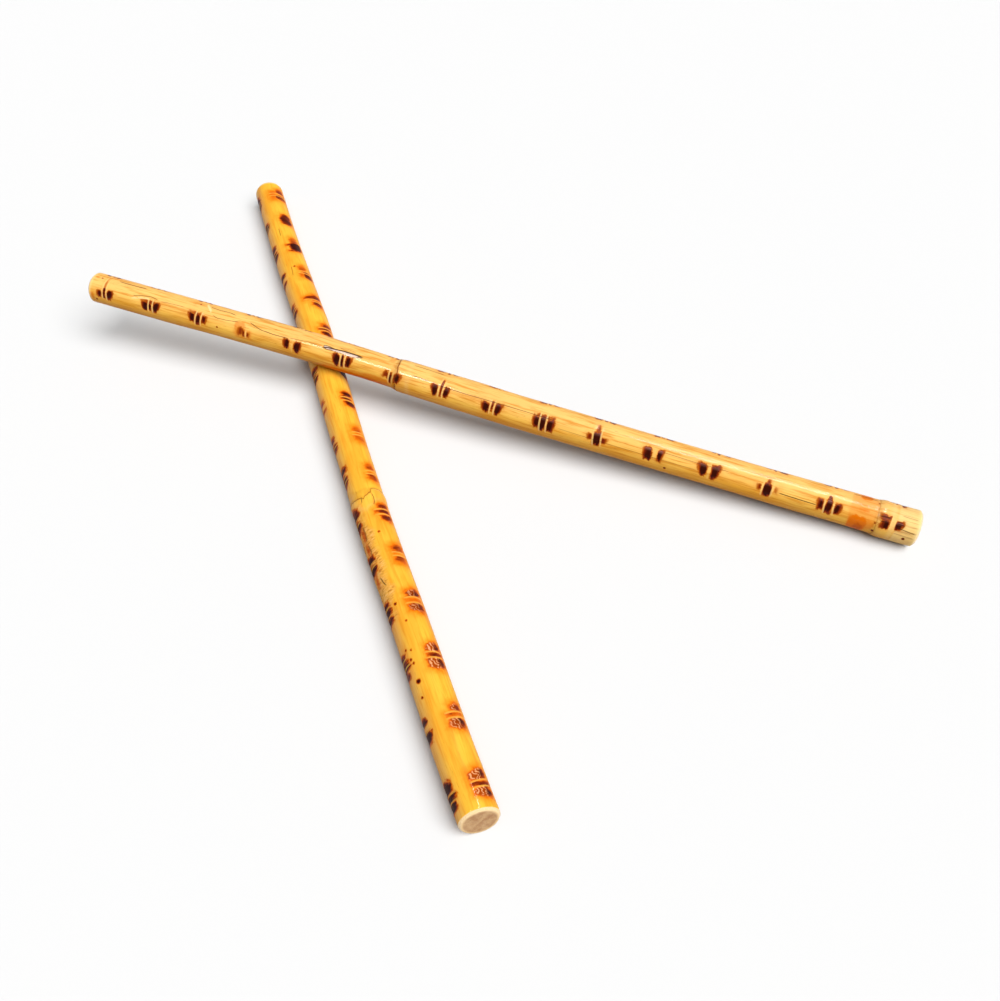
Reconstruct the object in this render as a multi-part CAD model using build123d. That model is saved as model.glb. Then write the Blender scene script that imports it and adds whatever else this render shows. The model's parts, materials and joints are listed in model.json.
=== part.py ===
from build123d import *
import math
import os

# A pair of varnished rattan training canes, one lying on the other in a slanting cross.
#
# Row frame: +Z up from the floor, +X along the upper stick as seen from above, and the origin on
# the floor under the middle of the pair's box. Millimetres and degrees.
#
# "Along" is a distance on a stick from its tip end. Every stick is first made in its own frame: +X
# from tip to butt, +Y to the stick's left and +Z up.

# Driving dimensions
STICK_LENGTH = 660.0        # 26 inches, the usual length of a single stick
CROSS_ANGLE = 50.4          # between the two sticks, seen from above
UPPER_CROSS_AT = 206.0      # along the upper stick, over the crossing
LOWER_CROSS_AT = 277.0      # along the lower stick, under the crossing
REST_GAP = 0.3              # clearance where the two round sticks cross
END_CHAMFER = 1.4           # sanded edge round each sawn end
TRUE_END = 60.0             # straight round stretch at an end, which takes a cap or a rack's hole
SHORT_END = 15.0            # the same beyond the upper stick's last node, near its butt
TILT_STEPS = 20             # rounds of solving for the upper stick's slope

# The natural shape of each cane between its true ends: (along, diameter, bow to the left).
# A cane is thicker or thinner from one internode to the next, and bends a little at its nodes.
UPPER_TIP_DIAMETER = 24.4
UPPER_TIP_BOW = (-1.8, -0.6)        # at the sawn end, and where the true end stops
UPPER_SHAPE = [
    (130.0, 23.6, 1.0),
    (180.0, 23.7, 2.0),
    (225.0, 23.4, 1.9),
    (267.0, 23.1, 1.0),             # first node's lower ring
    (273.5, 25.2, 0.6),             # first node's crest
    (290.0, 25.4, 0.2),
    (340.0, 25.5, -0.6),
    (380.0, 25.1, -1.0),
    (430.0, 24.7, -0.7),
    (540.0, 24.1, -0.1),
    (629.0, 24.3, 0.8),             # second node's lower ring
    (636.0, 26.3, 0.7),             # second node's crest
]
UPPER_BUTT_DIAMETER = 26.1
UPPER_BUTT_BOW = (0.7, 1.0)         # where the true end starts, and at the sawn end

LOWER_TIP_DIAMETER = 25.9
LOWER_TIP_BOW = (1.1, 0.2)
LOWER_SHAPE = [
    (100.0, 26.2, -0.1),
    (130.0, 26.6, 0.0),
    (180.0, 26.5, 0.7),
    (210.0, 26.5, 1.2),
    (277.0, 26.1, 0.7),
    (310.0, 25.8, -0.1),
    (345.0, 25.3, -0.8),
    (378.0, 24.8, -1.1),
    (411.0, 24.7, -1.3),            # node's lower ring
    (417.0, 25.7, -1.4),            # node's crest
    (430.0, 25.3, -1.5),
    (480.0, 25.2, -0.9),
    (510.0, 25.0, -0.1),
    (560.0, 25.1, 0.4),
]
LOWER_BUTT_DIAMETER = 25.1
LOWER_BUTT_BOW = (0.8, 2.6)


def station(along, diameter, bow, on_floor):
    """A round section's centre and radius. A stick on the floor has its underside straight."""
    radius = diameter / 2
    height = radius if on_floor else 0.0
    return Vector(along, bow, height), radius


def true_end(sawn, inner):
    """A chamfered cylinder from the sawn end's station to the station where the cane's shape starts."""
    (sawn_centre, radius), (inner_centre, _) = sawn, inner
    run = inner_centre - sawn_centre
    base = Plane(origin=sawn_centre, x_dir=(0, 0, 1), z_dir=run.normalized())
    rod = base * Cylinder(radius, run.length, align=(Align.CENTER, Align.CENTER, Align.MIN))
    rim = rod.edges().filter_by(GeomType.CIRCLE).sort_by_distance(sawn_centre)[0]
    return chamfer(rim, END_CHAMFER)


def section(centre, radius, run):
    """A round face on a station, square to this run of the stick."""
    plane = Plane(origin=centre, x_dir=(0, 0, 1), z_dir=run.normalized())
    return (plane * Circle(radius)).face()


def middle(tip, stations, butt):
    """The cane between its true ends, which stop at the first and last stations: straight-sided from
    one round section to the next. The outer two sections are square to the true ends."""
    centres = [centre for centre, _ in stations]
    befores = [tip[0], *centres[:-2], centres[-1]]
    afters = [centres[0], *centres[2:], butt[0]]
    sections = [section(centre, radius, after - before)
                for (centre, radius), before, after in zip(stations, befores, afters)]
    return loft(sections, ruled=True)


def stick(tip_diameter, tip_bow, shape, butt_diameter, butt_bow, butt_length, on_floor=False):
    """One solid cane in its own frame, with its tip at X = 0."""
    tip = station(0.0, tip_diameter, tip_bow[0], on_floor)
    tip_inner = station(TRUE_END, tip_diameter, tip_bow[1], on_floor)
    butt_inner = station(STICK_LENGTH - butt_length, butt_diameter, butt_bow[0], on_floor)
    butt = station(STICK_LENGTH, butt_diameter, butt_bow[1], on_floor)
    body = [station(*row, on_floor) for row in shape]
    cane = middle(tip, [tip_inner, *body, butt_inner], butt)
    return true_end(tip, tip_inner) + cane + true_end(butt, butt_inner)


def radius_at(along, shape):
    """A stick's radius at a place between two of its shape's stations."""
    for (a, diameter_a, _), (b, diameter_b, _) in zip(shape, shape[1:]):
        if a <= along <= b:
            return (diameter_a + (diameter_b - diameter_a) * (along - a) / (b - a)) / 2
    raise ValueError("no station on one side of this place")


def upper_tilt():
    """The upper stick's slope, and its axis height over the crossing: its butt's rim is on the floor."""
    on_top = 2 * radius_at(LOWER_CROSS_AT, LOWER_SHAPE) + REST_GAP
    upper_radius = radius_at(UPPER_CROSS_AT, UPPER_SHAPE)
    # The lowest point is the chamfer's outer corner under the butt.
    corner_along = STICK_LENGTH - END_CHAMFER - UPPER_CROSS_AT
    butt_radius = UPPER_BUTT_DIAMETER / 2
    slope = 0.0
    for _ in range(TILT_STEPS):
        height = on_top + upper_radius / math.cos(slope)
        slope = math.asin((height - butt_radius * math.cos(slope)) / corner_along)
    return math.degrees(slope), height


lower_own = stick(LOWER_TIP_DIAMETER, LOWER_TIP_BOW, LOWER_SHAPE,
                  LOWER_BUTT_DIAMETER, LOWER_BUTT_BOW, TRUE_END, on_floor=True)
upper_own = stick(UPPER_TIP_DIAMETER, UPPER_TIP_BOW, UPPER_SHAPE,
                  UPPER_BUTT_DIAMETER, UPPER_BUTT_BOW, SHORT_END)

# With the crossing over the frame's origin: the lower stick's butt swings towards -Y.
tilt, crossing_height = upper_tilt()
lower_placed = Rot(0, 0, -CROSS_ANGLE) * Pos(-LOWER_CROSS_AT, 0, 0) * lower_own
upper_placed = Pos(0, 0, crossing_height) * Rot(0, tilt, 0) * Pos(-UPPER_CROSS_AT, 0, 0) * upper_own

# The origin goes under the middle of the pair's box.
box = Compound([lower_placed, upper_placed]).bounding_box()
to_origin = Pos(-box.center().X, -box.center().Y, 0)
nodes = {
    "lower_stick": to_origin * lower_placed,
    "upper_stick": to_origin * upper_placed,
}

os.makedirs("parts", exist_ok=True)
for name, solid in nodes.items():
    solid.label = name
    export_step(solid, f"parts/{name}.step")
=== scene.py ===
import json
import math
import random
from collections import namedtuple

import bpy
import numpy as np
from mathutils import Matrix, Vector


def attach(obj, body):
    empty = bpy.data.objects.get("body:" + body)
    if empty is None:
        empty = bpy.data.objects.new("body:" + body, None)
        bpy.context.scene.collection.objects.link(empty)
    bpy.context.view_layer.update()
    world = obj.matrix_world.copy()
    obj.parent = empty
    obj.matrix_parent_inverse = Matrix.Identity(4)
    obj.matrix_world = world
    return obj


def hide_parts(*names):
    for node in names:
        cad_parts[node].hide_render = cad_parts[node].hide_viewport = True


# Two varnished rattan training canes, one lying across the other.
#
# Each cane is one mesh, built round the CAD stick's own round sections. A place on a cane is
# (along, angle): millimetres from the tip's sawn end, and degrees round from the top line. Angles
# grow towards the stick's right-hand side, looking from its tip to its butt.

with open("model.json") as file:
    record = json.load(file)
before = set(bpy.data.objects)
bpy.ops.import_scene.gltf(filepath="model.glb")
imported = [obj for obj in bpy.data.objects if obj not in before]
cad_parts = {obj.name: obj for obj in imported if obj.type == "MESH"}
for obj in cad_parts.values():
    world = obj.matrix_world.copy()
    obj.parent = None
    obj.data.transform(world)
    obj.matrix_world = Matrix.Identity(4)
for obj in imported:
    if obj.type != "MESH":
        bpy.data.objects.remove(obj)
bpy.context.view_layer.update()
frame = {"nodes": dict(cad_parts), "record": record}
mounts = {mount["name"]: mount for mount in frame["record"]["mounts"]}

MM = 0.001

# The mesh
AROUND = 114  # points round a stick
FINE_STEP = 0.6  # mm between rings of points in a mark, node or speck
COARSE_STEP = 1.5  # and elsewhere
SKIN_INSET = 0.12  # mm that the sanded skin lies inside the CAD solid
CHAMFER = 1.4  # mm, the sanded edge of a sawn end
CHAMFER_RINGS = 5
FACE_RINGS = 22
SECTION_GAP = 0.3  # mm: CAD points further apart than this, along, are in different sections
VARNISHED, SANDED, SAWN = 0, 1, 2  # the skin's, chamfers' and sawn faces' material index
LEAN_LENGTH = 24.0  # mm from the butt where its lean starts to shift the rings
LEAN_TOWARDS = 20.0  # degrees round, where a leaning butt is furthest back
LOWER_OFF_SQUARE = 3.3  # mm that the lower stick's butt leans across its width

# Surface relief, mm
BURN_DENT = 0.16  # a scorched lobe sinks this far
BURN_LIP = 0.06  # and its edge swells
FOLD = 0.22  # folds in blistered varnish
FOLD_PITCH = 3.0  # from one fold to the next
FOLD_SLANT = 0.35  # mm they drift round the stick in a millimetre along it
FOLD_WARP = 2.8  # radians of unevenness
RING_RISE = 0.07  # a pale ring across a mark
NODE_CRACK = 0.30
NODE_SWELL = 0.16
WRINKLE = 0.10
FLAKE_STEP = 0.12
UNEVEN = 0.05
SAW_MARKS = 0.06
# and each one's width, from its middle to where it has fallen to about a third
RIDGE_WIDTH = 0.5  # of a pale ring
LIP_WIDTH = 0.35  # of a lobe's edge
CRACK_WIDTH = 0.45  # of a node

# Outlines on the skin and how far each thing reaches, mm
FAR = 30.0  # deep outside any outline
NOWHERE = 10000.0  # a place along that is past any stick's end
NARROW_LOBE = 4.5  # a shorter lobe than this doesn't blister
STEADY_LOBE = 5.0  # and the outline of a shorter lobe than this strays less
MIDDLE_LOBE = 1.7  # a lobe centred nearer than this to its mark's middle has no outer side
MARK_REACH = 22.0  # along from a mark's place
BURN_REACH = MARK_REACH / 6  # outside a lobe, where its blackness still holds
BLISTER_REACH = 2.0
RING_REACH = 9.0  # along from the middle of a mark's two rings
NODE_REACH = 14.0  # along from a node's crack
SPLIT_FADE = 2.0  # over which a split's ends fade
ONE_RING = 0.01  # so small a gap that a mark's two rings are one
NO_RINGS = 0.0  # the gap of a mark without rings
SQUARENESS = 3.2  # of an outline's corners, where 2 is an ellipse

Lobe = namedtuple("Lobe", "start end top bottom taper burn outer", defaults=(0,))
Mark = namedtuple("Mark", "along mid gap lobes blister heat")
Node = namedtuple("Node", "crack swell pale amount")


def mark(along, mid, gap, *lobes, blister=0.0, heat=0.25):
    """A scorched mark. Two pale rings cross it, gap apart, centred mid past its place. A lobe is
    (start, end, top angle, bottom angle, taper, burn), with start and end from the mark's place. Its outer
    side is the one further from the rings: -1 is towards the tip, 1 towards the butt and 0 neither."""
    placed = []
    for start, end, top, bottom, taper, burn in lobes:
        from_middle = (start + end) / 2 - mid
        outer = 0 if abs(from_middle) < MIDDLE_LOBE else math.copysign(1, from_middle)
        placed.append(Lobe(along + start, along + end, top, bottom, taper, burn, outer))
    return Mark(along, mid, gap, placed, blister, heat)


# The upper stick's marks that face the viewer
UPPER_FRONT_MARKS = [
    mark(16, -0.5, 3.6, (-7, -3, 53, 77, 0.1, 0.9), (-1.2, 0.2, 33, 77, 0, 1.3), (2.2, 8, 45, 82, 0.5, 1),
         (-2, 0.6, -8, 38, -0.3, 0.3)),
    mark(59, -0.9, 3.8, (-9, -3.3, 47, 78, 0.3, 1), (-2.2, -0.2, 50, 76, 0, 1.2), (1.5, 8, 40, 81, 0.6, 1),
         (-10, 7.5, 38, 52, 0, 0.5)),
    mark(101, -0.1, 4.9, (-9, -3, 36, 72, 0.3, 0.95), (-2, 1.8, 42, 80, 0.1, 1),
         (3, 7.5, 40, 70, 0.3, 0.85), (-8.5, 3, 32, 44, 0, 0.5)),
    mark(143, 0.2, ONE_RING, (-8, -2, 42, 74, -0.2, 0.5), (-3, -1.2, 52, 76, 0.2, 0.8),
         (1.2, 3, 58, 74, 0.2, 0.8), heat=0.5),
    mark(185, -1.7, ONE_RING, (-9.3, -3.8, 40, 74, 0.3, 1), (0.4, 6.2, 40, 82, 0.3, 1)),
    mark(227, -0.1, 3.7, (-9, -2.7, 38, 86, 0.5, 1), (-1.2, 0.4, 38, 83, 0, 1.4),
         (2.8, 7.6, 38, 78, 0.4, 1)),
    mark(269, -0.6, 3.8, (-8, -3, 40, 70, -0.5, 0.6), (-2, 0.2, 45, 86, 0, 1.1),
         (2.5, 8, 42, 76, 0.5, 0.95)),
    mark(309, 0.7, 3.4, (-8, -1.8, 36, 74, 0.5, 0.95), (0.2, 1.5, 14, 72, 0, 0.95),
         (3.2, 7.8, 36, 72, 0.4, 0.95)),
    mark(351, 0.1, 3.2, (-8.7, -2.3, 42, 77, 0.5, 1), (-0.6, 0.9, 33, 68, 0, 0.9),
         (2.5, 8.3, 36, 77, 0.6, 0.95)),
    mark(392, -1.4, 5.1, (-9.8, -4, 36, 76, 0.3, 0.95), (-3.8, 0.8, 28, 84, 0.2, 1),
         (1.6, 7.6, 38, 80, 0.2, 1), (-9, 7, 26, 40, 0, 0.5)),
    mark(432, -0.5, 6.2, (-8, -3.6, 42, 63, 0.1, 0.6), (-3.6, 2.6, 30, 79, 0.1, 1),
         (2.6, 8, 46, 67, 0.4, 0.6), (-2.5, 1.5, 5, 40, -0.4, 0.45)),
    mark(474, 0.5, ONE_RING, (-8.2, -1.6, 32, 75, 0.3, 0.95), (2.6, 7, 31, 70, 0.3, 0.95)),
    mark(515, -0.6, ONE_RING, (-9.3, -2.4, 30, 75, 0.5, 0.95), (1.2, 7.5, 26, 79, 0.5, 0.95)),
    mark(556, 0.1, 6.9, (-7.5, -4, 44, 66, 0.3, 0.55), (-2.8, 3, 36, 80, 0.1, 1),
         (-1.2, 1.6, 20, 42, -0.5, 0.6), (4.4, 8, 40, 66, 0.1, 0.3)),
    mark(599, -0.35, 6.3, (-8.4, -4, 36, 72, 0.2, 0.9), (-3, 2.2, 20, 80, -0.6, 1),
         (3.4, 8.4, 38, 72, 0.2, 0.9)),
    mark(642, -0.1, 2.2, (-10, -2, 26, 44, 0, 0.6), (-8, -2.2, 43, 70, -0.3, 1), (1.6, 7, 37, 64, 0.5, 1)),
]

# The lower stick's marks along its left side, and along its right side
LOWER_LEFT_MARKS = [
    mark(23, 0, 4, (-12, -2, -62, -26, 0.2, 0.55), (0, 10, -64, -14, 0.3, 0.6), (-6, 10, -26, 2, 0, 0.3),
         heat=0.6),
    mark(67, 0, NO_RINGS, (-10, 9, -58, -10, 0.15, 0.74), heat=0.5),
    mark(113, -4, NO_RINGS, (-16, -6, -50, -18, 0, 0.5), (-8, 8, -64, -14, -0.3, 0.95),
         (-5, -2.5, -24, 2, 0.4, 0.7), (5, 8, -24, -4, 0.5, 0.6), heat=0.5),
    mark(153, -1, 3, (-12, -3, -46, -14, 0.1, 0.42), (-2.4, 0.6, -56, -26, 0, 0.6),
         (1, 9.6, -64, -26, 0.3, 0.72), (-1, 8, -30, -12, 0, 0.34), heat=0.5),
    mark(194, -0.5, 3, (-10, -2, -62, 4, 0.6, 0.66), (0.5, 9, -60, -22, 0.3, 0.62), heat=0.6),
    mark(233, -0.2, 3.8, (-8.6, -3, -64, -22, 0.2, 0.6), (-2, 1, -60, -12, 0, 0.72),
         (2, 9, -56, -20, 0.3, 0.76), heat=0.6),
    # Mark 276's second lobe runs on past its scorch as painted contact shadow beside the upper stick
    mark(276, 0, 4, (-9, -3, -58, -22, 0.3, 0.7), (2, 17, -74, -38, 0.5, 0.9)),
    mark(318, -0.6, 3.6, (-10, -3.6, -60, -20, 0.3, 0.78), (-2.6, 0.6, -54, -16, 0, 0.8),
         (1.6, 8.5, -64, -24, 0.3, 0.8), heat=0.5),
    mark(356, -0.5, 3, (-9, -1, -54, -22, 0.2, 0.42), (0.6, 9, -60, -18, 0.2, 0.42), heat=0.6),
    mark(396, -0.5, 3, (-10, -2, -56, -24, 0.2, 0.45), (0.4, 9, -62, -22, 0.2, 0.5), heat=0.6),
    mark(435, -0.6, 4.8, (-9.6, -3.4, -60, -22, 0.2, 0.62), (-2.6, 1, -64, -8, 0.1, 0.66),
         (2.2, 8.6, -64, -24, 0.2, 0.66), heat=0.5),
    mark(473, 0, 3, (-9, -1.6, -62, -18, 0.2, 0.52), (1.2, 9, -60, -18, 0.2, 0.46), heat=0.7),
    mark(512, -0.3, 4.5, (-9.6, -3.4, -60, -12, 0.3, 0.75), (-1.6, 1, -56, -6, 0.1, 0.45),
         (2.6, 10, -62, -10, 0.3, 0.75), blister=0.6, heat=0.7),
    mark(555, -0.9, 4.2, (-10.6, -3.2, -62, -16, 0.3, 0.75), (-2.6, 0.8, -64, -14, 0, 0.8),
         (1.4, 10.5, -64, -10, 0.2, 0.8), blister=1.0, heat=0.6),
    mark(598, -1.3, 3.8, (-9.6, -3.6, -60, -24, 0.2, 0.66), (-2.4, -0.4, -58, -8, 0, 0.55),
         (1, 9.4, -62, -10, 0.3, 0.8), blister=0.8, heat=0.6),
    mark(642, -0.3, 4.3, (-10.6, -3, -58, -8, 0.3, 0.8), (-1.6, 1, -64, -8, 0, 0.85),
         (2, 10.6, -62, -10, 0.3, 0.8), blister=1.0, heat=0.6),
]
LOWER_RIGHT_MARKS = [
    mark(24, 0, 4, (-13, 11, 56, 108, -0.2, 0.8)),
    mark(68, 0, 4, (-8, 6, 46, 104, -0.3, 0.8)),
    mark(110, 0, 4, (-12, -2, 46, 106, -0.2, 0.8), (-1, 12, 46, 104, -0.2, 0.8)),
    mark(152, -0.3, 3, (-9, -2, 44, 104, -0.1, 0.85), (3, 8, 50, 102, -0.1, 0.8)),
    mark(195, -0.5, 3, (-8, -2, 50, 106, -0.1, 0.8), (0, 8, 46, 104, -0.2, 0.85)),
    mark(236, 0, 4, (-8, -2, 48, 106, 0, 0.85), (2, 8, 50, 104, 0, 0.85)),
    mark(280, 0, 4, (-8, -1, 38, 104, -0.1, 0.9), (0, 8, 46, 104, -0.1, 0.9)),
    mark(318, -0.8, 3, (-9, -3, 50, 100, 0, 0.5), (1, 5, 46, 100, 0, 0.5)),
    mark(357, 0, 4, (-8, -1, 54, 104, 0, 0.7), (0, 8, 49, 104, 0, 0.7)),
    mark(395, -2, 4, (-13, -7, 42, 96, 0, 0.85), (-6, 7, 48, 102, -0.2, 0.7)),
    mark(434, 0, 4, (-12, -1, 44, 104, -0.1, 0.75), (0, 10, 50, 104, -0.1, 0.75), (9, 21, 47, 64, 0, 0.42)),
    mark(474, -1, 3, (-8, -2, 44, 104, 0, 0.95), (0, 7, 45, 104, 0, 0.95), (-20, -7, 49, 66, 0, 0.42),
         (7, 19, 56, 74, 0, 0.36)),
    mark(513, -0.5, 6, (-8, -4, 52, 104, 0, 0.9), (-3, 2, 46, 104, 0, 1), (3, 9, 50, 104, 0, 0.9)),
    mark(553, -0.6, 5, (-7, -2, 54, 104, 0, 0.9), (-1, 5, 46, 104, 0, 0.95), (5.4, 11, 56, 104, 0, 0.7)),
    mark(599, -1, 3, (-8, -3, 54, 104, 0, 0.95), (1, 8, 50, 104, 0, 1)),
    mark(643, -0.5, 5, (-11, -3.5, 46, 104, 0, 1.15), (-2.4, 2, 42, 104, 0, 1), (2.6, 9, 50, 104, 0, 1.1)),
]

MARK_PITCH = 41.8  # mm from one mark to the next in a row
FIRST_MARK = 16.0
MARKS_IN_ROW = 16
UPPER_UNDER_ROW = 172  # degrees round, of the rows that are out of sight
UPPER_BACK_ROW = -52
LOWER_UNDER_ROW = 202

# Splits: points of (along, angle), then half the width in mm and how dark it is, or, if negative, how bright
# a painted glint is
Split = namedtuple("Split", "points width dark")
UPPER_SPLITS = [
    Split([(24, -6), (36, -5), (50, -7)], 0.34, 0.7),
    Split([(41, 38), (48, 29), (57, 23), (64, 28)], 0.2, 0.7),
    # The next two pale splits are painted glints
    Split([(40, 48), (46, 41), (52, 35), (57, 33)], 0.45, -0.7),
    Split([(103, -18), (107, 0), (111, 19)], 0.6, -0.9),
    Split([(66, 31), (74, 29), (88, 27)], 0.14, 0.6),
    Split([(107, -6), (116, -3), (124, -5), (131, 1)], 0.24, 0.8),
    Split([(112, 27), (117, 34), (126, 32), (136, 26)], 0.18, 0.7),
    Split([(144, 14), (149, 24), (155, 33), (166, 37), (180, 36)], 0.2, 0.8),
    Split([(180, 33), (196, 27), (209, 31)], 0.16, 0.6),
    Split([(208, 34), (212, 26), (226, 22), (242, 22)], 0.3, 1.0),
    Split([(221, 13), (228, 8), (236, 11)], 0.16, 0.5),
    Split([(284, 30), (300, 33)], 0.2, 0.8),
    Split([(305, 36), (330, 37), (352, 35), (376, 34), (398, 36)], 0.16, 0.75),
    Split([(282, -12), (296, -13), (308, -10)], 0.3, 0.5),
    Split([(402, 58), (424, 60), (470, 62), (506, 61)], 0.13, 0.5),
    Split([(480, 35), (504, 37), (528, 35)], 0.14, 0.6),
    Split([(564, 57), (580, 59), (591, 60)], 0.22, 0.9),
    Split([(612, -23), (630, -22)], 0.3, 0.6),
    Split([(632, 35), (640, 34)], 0.3, 0.8),
    Split([(633, 50), (639, 48)], 0.24, 0.8),
    Split([(644, 44), (650, 45)], 0.24, 0.8),
    Split([(645, 56), (658, 62)], 0.22, 0.7),
    Split([(646, 16), (658, 17)], 0.16, 0.5),
    Split([(644, 76), (658, 78)], 0.16, 0.5),
]
LOWER_SPLITS = [
    Split([(417, -15), (421, -19), (425, -17), (428, -11)], 0.22, 0.7),
    Split([(418, 20), (423, 22), (424, 30)], 0.2, 0.7),
    Split([(80, 8), (94, 9)], 0.3, 0.5),
    Split([(142, 8), (156, 13)], 0.25, 0.5),
    Split([(486, 46), (491, 41), (495, 34)], 0.3, 0.8),
    Split([(441, 48), (448, 46), (455, 50)], 0.5, 0.5),
    Split([(457, 50), (464, 46), (469, 50)], 0.4, 0.5),
]
UPPER_FLAKES = [  # lifted or scuffed varnish
    Lobe(209, 244, 20, 33, 0.1, 1.0),
]
# Small burnt specks: (along, angle, radius in mm)
UPPER_DOTS = [(99, -4, 0.5), (118, 68, 0.6), (484, 90, 0.8), (651.5, 88, 0.9), (521, 44, 0.6), (8, 92, 0.7),
              (631, 62, 0.5), (631.6, 94, 0.8), (630.5, -8, 0.4), (9.5, 1, 0.5)]
LOWER_DOTS = [(452, 0, 0.35), (511, 27, 0.6), (553, 36, 0.5), (556, 32, 0.4), (568.5, 35, 1.3),
              (579.5, 41, 0.4), (547, 27, 0.3), (601, 44, 0.3), (143, -4, 0.5), (526, 12, 0.3),
              (545, 44, 0.35)]
UPPER_HEAT_AND_SHADE = [  # heat stains beside the last node, a few more, and painted shade past the crossing
    Lobe(2.0, 6.5, 60, 100, 0.1, 0.55),
    Lobe(3.0, 7.0, -6, 7, 0.1, 0.6),
    # Painted shade and warm bounce light under the upper stick, past where it crosses the lower one
    Lobe(204, 266, 97, 150, 0.1, 0.85),
    Lobe(206, 262, 82, 150, 0.1, 0.4),
    Lobe(611.5, 631.5, -46, 118, 0.05, 0.36),
    Lobe(613, 626, 53, 130, 0.1, 0.96),
    Lobe(617.5, 625.5, 76, 140, 0.1, 1.35),
    Lobe(618, 627, 24, 40, 0.1, 0.6),
    Lobe(617.5, 627, -44, -6, 0.2, 0.75),
    Lobe(612.5, 618, 56, 80, 0.3, 0.6),
    Lobe(624, 631.2, 54, 96, 0.0, 0.55),
    Lobe(132, 142, 20, 68, 0.2, 0.5),
    # A stain before the node, partly painted shade and warm bounce light past the crossing
    Lobe(242, 268, 74, 124, 0.1, 0.5),
    Lobe(262, 268, -30, 6, 0.1, 0.4),
]
ROUGH_SKIN = Lobe(424, 522, 14, 108, 0.0, 1.0)  # wrinkled, dull skin past the lower stick's node

UPPER_BARE_FROM = 643.5  # pale grooved fibres from here to the upper stick's butt

# A node: its crack's points (angle, along), how much it swells, how pale its ring is and how dark its crack
UPPER_NODES = [
    Node([(-60, 268.5), (-20, 270.2), (0, 271.2), (20, 272.2), (40, 273.2), (60, 271.8), (90, 272.6),
         (180, 271)], 1.0, 0.3, 0.9),
    Node([(-60, 630.6), (-20, 631.2), (20, 631), (60, 631.8), (100, 632.4), (180, 631.5)], 1.0, 0.5, 0.3),
]
LOWER_NODES = [
    Node([(-60, 414.5), (-32, 412.8), (-20, 413.6), (-15, 416.2), (-8, 416.6), (0, 417.8), (9, 418.8),
         (14, 420.6), (24, 418.6), (45, 418), (70, 417), (180, 416)], 0.9, 0.25, 0.7),
]


def add_object(name, data):
    """A new object in the scene."""
    new = bpy.data.objects.new(name, data)
    bpy.context.scene.collection.objects.link(new)
    return new


# ---- Places on a stick

def smooth_step(low, high, value):
    t = np.clip((value - low) / (high - low), 0.0, 1.0)
    return t * t * (3.0 - 2.0 * t)


def wrapped(degrees):
    """The same angle, from -180 to 180."""
    return (degrees + 180.0) % 360.0 - 180.0


def smooth_curve(places, values):
    """A smooth function through the given values that never overshoots them."""
    spans = np.diff(places)
    slopes = np.diff(values) / spans
    before, after = slopes[:-1], slopes[1:]
    level = before * after <= 0
    total = np.where(level, 1.0, before + after)
    tangents = np.concatenate([slopes[:1], np.where(level, 0.0, 2 * before * after / total), slopes[-1:]])

    def value(at):
        i = np.clip(np.searchsorted(places, at) - 1, 0, len(spans) - 1)
        t = (at - places[i]) / spans[i]
        rise = values[i] * (1 + 2 * t) * (1 - t) ** 2 + values[i + 1] * t * t * (3 - 2 * t)
        lean = tangents[i] * t * (1 - t) ** 2 - tangents[i + 1] * t * t * (1 - t)
        return rise + lean * spans[i]

    return value


def waves(rng, along, angle, length, turns, count=18):
    """Smooth random unevenness, about -1 to 1: waves about length mm long that close round the stick."""
    total = np.zeros(np.broadcast(along, angle).shape)
    for _ in range(count):
        pitch = length * rng.uniform(0.6, 1.8)
        around = rng.randint(-turns, turns)
        total += np.sin(along * math.tau / pitch + np.radians(angle) * around + rng.uniform(0, math.tau))
    return total / math.sqrt(count)


class Stick:
    """A CAD stick's centre line and thickness, read from its round sections."""

    def __init__(self, node):
        self.node = node
        tip = np.array(mounts[node + "_tip_face"]["pos_m"])
        butt = np.array(mounts[node + "_butt_face"]["pos_m"])
        self.tip = tip
        self.length = np.linalg.norm(butt - tip) / MM
        self.axis = (butt - tip) / np.linalg.norm(butt - tip)
        side = np.cross(self.axis, (0, 0, 1))
        self.side = side / np.linalg.norm(side)
        self.up = np.cross(self.side, self.axis)

        places, sideways, underside, radii = self.sections()
        self.radius = smooth_curve(places, radii)
        self.sideways = smooth_curve(places, sideways)
        self.underside = smooth_curve(places, underside)

    def sections(self):
        """Each CAD section's place along, its centre sideways, its underside and its radius, in mm."""
        vertices = frame["nodes"][self.node].data.vertices
        offsets = (np.array([v.co for v in vertices]) - self.tip) / MM
        offsets = offsets[np.argsort(offsets @ self.axis)]
        along = offsets @ self.axis
        cuts = np.where(np.diff(along) > SECTION_GAP)[0] + 1
        rows = []
        for ring in np.split(offsets, cuts):
            centre, radius = fit_circle(ring)
            rows.append((centre @ self.axis, centre @ self.side, centre @ self.up - radius, radius))
        rows = rows[1:-1]  # the end faces are a chamfer thinner, so the true ends run on
        run_on_tip = extended(rows[0], rows[1], 0.0)
        run_on_butt = extended(rows[-1], rows[-2], self.length)
        rows = [run_on_tip, *rows, run_on_butt]
        return tuple(np.array(column) for column in zip(*rows))

    def centre(self, along):
        """Points of the centre line, in mm from the tip face's centre."""
        height = self.underside(along) + self.radius(along)
        return (along[..., None] * self.axis + self.sideways(along)[..., None] * self.side
                + height[..., None] * self.up)

    def directions(self, along):
        """Unit vectors across the stick, to its right and up, where it is bent a little."""
        probe = 0.5
        low, high = np.clip(along - probe, 0, self.length), np.clip(along + probe, 0, self.length)
        tangent = self.centre(high) - self.centre(low)
        tangent /= np.linalg.norm(tangent, axis=-1, keepdims=True)
        right = np.cross(tangent, (0, 0, 1))
        right /= np.linalg.norm(right, axis=-1, keepdims=True)
        return right, np.cross(right, tangent)


def extended(near, next_in, along):
    """The section at this place, in line with the two sections next to it."""
    share = (along - near[0]) / (next_in[0] - near[0])
    return tuple(a + (b - a) * share for a, b in zip(near, next_in))


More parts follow.
